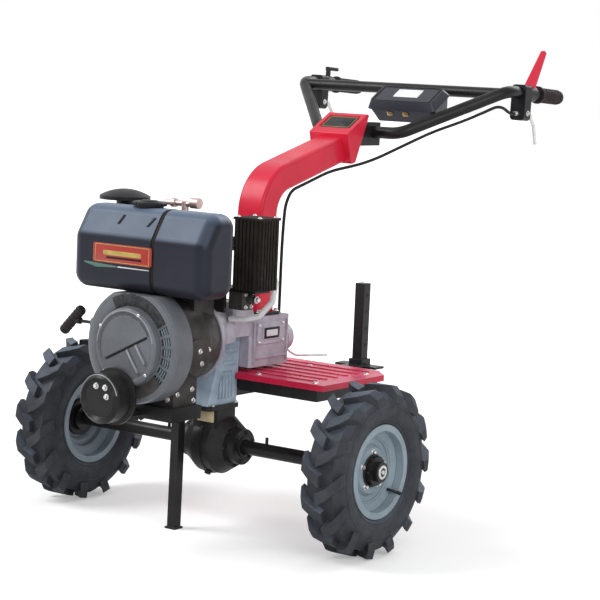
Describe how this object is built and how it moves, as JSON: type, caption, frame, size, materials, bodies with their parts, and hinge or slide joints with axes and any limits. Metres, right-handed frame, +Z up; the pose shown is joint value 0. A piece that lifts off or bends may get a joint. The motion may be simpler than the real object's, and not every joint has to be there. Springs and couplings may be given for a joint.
{
  "type": "walk-behind rotary tiller",
  "caption": "Two-wheel walk-behind diesel tiller on lugged tyres, with a red steering column, tube handlebar, deck and front stand.",
  "frame": {"origin": "on the ground, under the middle of the machine's overall box", "axes": "+Z up; +Y rearwards, to the operator; +X to the machine's left"},
  "size_m": [1.017, 1.475, 1.2197],
  "materials": {
    "tyre_rubber": "matt black rubber",
    "rim_paint": "light grey paint",
    "black_paint": "gloss black paint",
    "red_paint": "gloss red paint",
    "case_paint": "black painted casting",
    "leg_casting": "blue-grey painted casting",
    "housing_casting": "bare casting",
    "engine_grey": "dark grey paint",
    "engine_casting": "dark painted casting",
    "tank_plastic": "satin charcoal moulding",
    "black_plastic": "satin black moulding",
    "grip_rubber": "matt black rubber",
    "bright_steel": "zinc plated"
  },
  "bodies": {
    "chassis": {"air_cleaner": "black_paint", "breather_pipe": "bright_steel", "clutch_cable": "black_plastic", "column": "red_paint", "column_base": "black_paint", "column_head": "red_paint", "crankcase": "engine_casting", "crossbar": "black_paint", "cylinder": "engine_casting", "cylinder_head": "engine_casting", "deck": "red_paint", "deck_frame": "black_paint", "drawbar": "black_paint", "engine_frame": "black_paint", "exhaust": "bright_steel", "fan_housing": "engine_grey", "front_guard": "black_paint", "fuel_cap": "black_plastic", "fuel_pump": "engine_casting", "fuel_tank": "tank_plastic", "gear_case": "case_paint", "gear_housing": "housing_casting", "gear_leg": "leg_casting", "grip_left": "grip_rubber", "grip_right": "grip_rubber", "hand_lever_left": "bright_steel", "hand_lever_right": "bright_steel", "handlebar": "black_paint", "handlebar_clamp": "black_paint", "injector": "bright_steel", "intake_cap": "black_plastic", "lever_bracket_left": "black_plastic", "lever_bracket_right": "black_plastic", "muffler_bracket": "black_paint", "muffler_guard": "black_paint", "recoil_cover": "engine_grey", "red_lever": "red_paint", "stand_bracket": "black_paint", "starter_handle": "black_plastic", "tank_strap": "black_paint", "throttle_lever": "black_plastic", "toolbox_bracket": "black_paint", "toolbox_tray": "black_plastic"},
    "wheel_left": {"tyre_left": "tyre_rubber", "rim_left": "rim_paint", "axle_left": "black_paint"},
    "wheel_right": {"tyre_right": "tyre_rubber", "rim_right": "rim_paint", "axle_right": "black_paint"},
    "stand": {"stand_leg": "black_paint"},
    "lid": {"toolbox_lid": "black_plastic"},
    "stake": {"depth_stake": "black_paint"}
  },
  "joints": [
    {"name": "wheel_left_spin", "type": "hinge", "parent": "chassis", "child": "wheel_left", "pos_m": [0.4525, -0.30747, 0.2075], "axis": [1, 0, 0], "continuous": true},
    {"name": "wheel_right_spin", "type": "hinge", "parent": "chassis", "child": "wheel_right", "pos_m": [-0.4525, -0.30747, 0.2075], "axis": [1, 0, 0], "continuous": true},
    {"name": "stand_fold", "type": "hinge", "parent": "chassis", "child": "stand", "pos_m": [-0.036, -0.44547, 0.282], "axis": [-1, 0, 0], "range_deg": [0, 92]},
    {"name": "lid_open", "type": "hinge", "parent": "chassis", "child": "lid", "pos_m": [0.088, 0.40272, 1.09234], "axis": [-1, 0, 0], "range_deg": [0, 95]},
    {"name": "stake_slide", "type": "slide", "parent": "chassis", "child": "stake", "axis": [0, 0, 1], "range_m": [-0.1, 0.1]}
  ]
}
